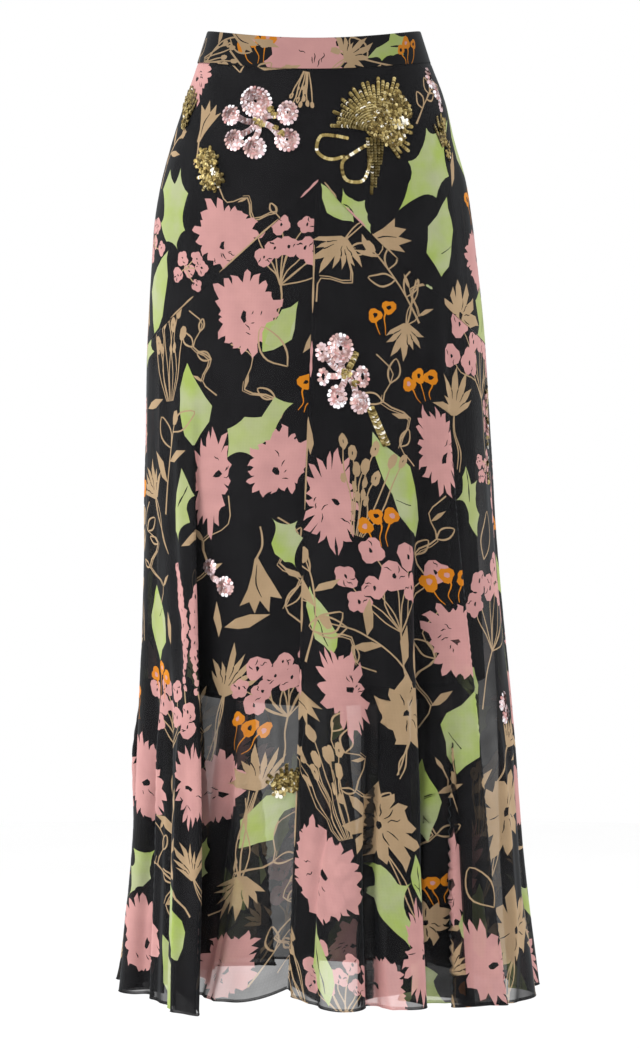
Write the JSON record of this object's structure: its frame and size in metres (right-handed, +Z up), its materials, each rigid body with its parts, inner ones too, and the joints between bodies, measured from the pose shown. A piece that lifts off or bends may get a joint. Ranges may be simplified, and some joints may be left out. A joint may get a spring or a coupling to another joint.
{
  "type": "long skirt",
  "caption": "Sheer floral long skirt with a contour waistband, pointed hip yoke, godet-like folds and a shorter dark lining, held open at the waist.",
  "frame": {"origin": "centre of the waist opening, at mid height of the waistband above the side seams", "axes": "+Z up the wearer's body, -Y out of the front, +X towards the wearer's left"},
  "size_m": [0.4525, 0.4103, 1.021],
  "materials": {
    "chiffon": "matte sheer printed",
    "lining": "soft satin",
    "zip_metal": "satin"
  },
  "bodies": {
    "skirt": {"waistband_front": "chiffon", "waistband_back_left": "chiffon", "waistband_back_right": "chiffon", "yoke_front": "chiffon", "skirt_front_left": "chiffon", "skirt_front_right": "chiffon", "skirt_back_left": "chiffon", "skirt_back_right": "chiffon", "lining_front": "lining", "lining_back": "lining", "zip_slider": "zip_metal"},
    "pull": {"zip_pull": "zip_metal"}
  },
  "joints": [
    {"name": "zip_pull_hinge", "type": "hinge", "parent": "skirt", "child": "pull", "pos_m": [0, 0.10019, 0.01376], "axis": [1, 0, 0], "range_deg": [0, 165]}
  ]
}
